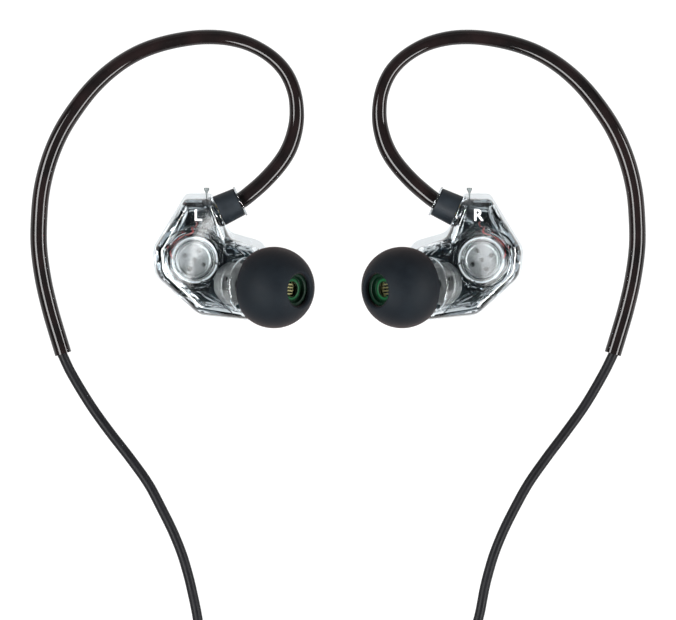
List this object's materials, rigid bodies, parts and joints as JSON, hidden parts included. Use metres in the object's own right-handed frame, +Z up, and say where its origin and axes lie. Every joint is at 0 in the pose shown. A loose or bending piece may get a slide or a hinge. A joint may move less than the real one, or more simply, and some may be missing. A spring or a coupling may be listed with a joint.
{
  "type": "in ear monitors",
  "caption": "Pair of clear-shelled in-ear monitors with silicone tips, over-ear hooks and a detachable cable that ends in a 3.5 mm plug.",
  "frame": {"origin": "on the surface the pair lies on, under the middle of the box around the earpieces and their hooks", "axes": "+X from the left earpiece to the right one, +Y from the plug end of the cable towards the hooks' tops, +Z up from the faceplates"},
  "size_m": [0.0986, 0.1895, 0.0173],
  "materials": {
    "clear_shell": "clear polished polycarbonate",
    "tip_silicone": "matte silicone",
    "tip_core": "translucent green silicone",
    "gold_plate": "polished gold plating",
    "steel": "satin pressed steel",
    "dark_steel": "blackened",
    "magnet": "nickel plated magnet",
    "film": "thin polymer film",
    "board": "solder mask over laminate",
    "red_wire": "enamelled wire",
    "black_wire": "enamelled wire",
    "grey_plastic": "satin",
    "collar_black": "matte anodised",
    "hook_tube": "glossy formed tubing",
    "cable_jacket": "matte soft jacket",
    "moulded_black": "satin moulded",
    "soft_black": "matte"
  },
  "bodies": {
    "root": {"left_hook": "hook_tube", "left_collar": "collar_black", "left_plug_body": "gold_plate", "left_lead": "cable_jacket", "right_hook": "hook_tube", "right_collar": "collar_black", "right_plug_body": "gold_plate", "right_lead": "cable_jacket", "lead_coil": "cable_jacket", "splitter": "moulded_black", "cord_start": "cable_jacket", "cord_coil": "cable_jacket", "coil_tie": "soft_black", "cord_end": "cable_jacket", "plug_relief": "soft_black", "plug_handle": "moulded_black", "plug_sleeve": "gold_plate", "plug_ring": "gold_plate", "plug_insulator": "moulded_black", "plug_tip": "gold_plate"},
    "slider": {"chin_slider": "moulded_black"},
    "left_clip": {"left_snap_ring": "steel"},
    "left_earpiece": {"left_shell_outer": "clear_shell", "left_shell_inner": "clear_shell", "left_nozzle_screen": "gold_plate", "left_driver_cover": "steel", "left_driver_frame": "steel", "left_driver_diaphragm": "film", "left_driver_magnet": "magnet", "left_driver_yoke": "steel", "left_small_driver_cup": "steel", "left_small_driver_cover": "steel", "left_socket": "dark_steel", "left_socket_contact": "gold_plate", "left_crossover_board": "board", "left_wire_red": "red_wire", "left_wire_black": "black_wire", "left_vent_nub": "grey_plastic"},
    "left_tip": {"left_ear_tip": "tip_silicone", "left_ear_tip_core": "tip_core"},
    "right_clip": {"right_snap_ring": "steel"},
    "right_earpiece": {"right_shell_outer": "clear_shell", "right_shell_inner": "clear_shell", "right_nozzle_screen": "gold_plate", "right_driver_cover": "steel", "right_driver_frame": "steel", "right_driver_diaphragm": "film", "right_driver_magnet": "magnet", "right_driver_yoke": "steel", "right_small_driver_cup": "steel", "right_small_driver_cover": "steel", "right_socket": "dark_steel", "right_socket_contact": "gold_plate", "right_crossover_board": "board", "right_wire_red": "red_wire", "right_wire_black": "black_wire", "right_vent_nub": "grey_plastic"},
    "right_tip": {"right_ear_tip": "tip_silicone", "right_ear_tip_core": "tip_core"}
  },
  "joints": [
    {"name": "left_swivel", "type": "hinge", "parent": "root", "child": "left_clip", "pos_m": [-0.01908, -0.00296, 0.0046], "axis": [-0.9061, -0.4231, 0], "continuous": true},
    {"name": "left_unplug", "type": "slide", "parent": "left_clip", "child": "left_earpiece", "axis": [-0.9061, -0.4231, 0], "range_m": [0, 0.0033]},
    {"name": "left_tip_pull", "type": "slide", "parent": "left_earpiece", "child": "left_tip", "axis": [0.7278, -0.073, 0.6819], "range_m": [0, 0.0057]},
    {"name": "right_swivel", "type": "hinge", "parent": "root", "child": "right_clip", "pos_m": [0.01908, -0.00296, 0.0046], "axis": [-0.9061, 0.4231, 0], "continuous": true},
    {"name": "right_unplug", "type": "slide", "parent": "right_clip", "child": "right_earpiece", "axis": [0.9061, -0.4231, 0], "range_m": [0, 0.0033]},
    {"name": "right_tip_pull", "type": "slide", "parent": "right_earpiece", "child": "right_tip", "axis": [-0.7278, -0.073, 0.6819], "range_m": [0, 0.0057]},
    {"name": "chin_slide", "type": "slide", "parent": "root", "child": "slider", "axis": [0, 1, 0], "range_m": [0, 0.008]}
  ]
}
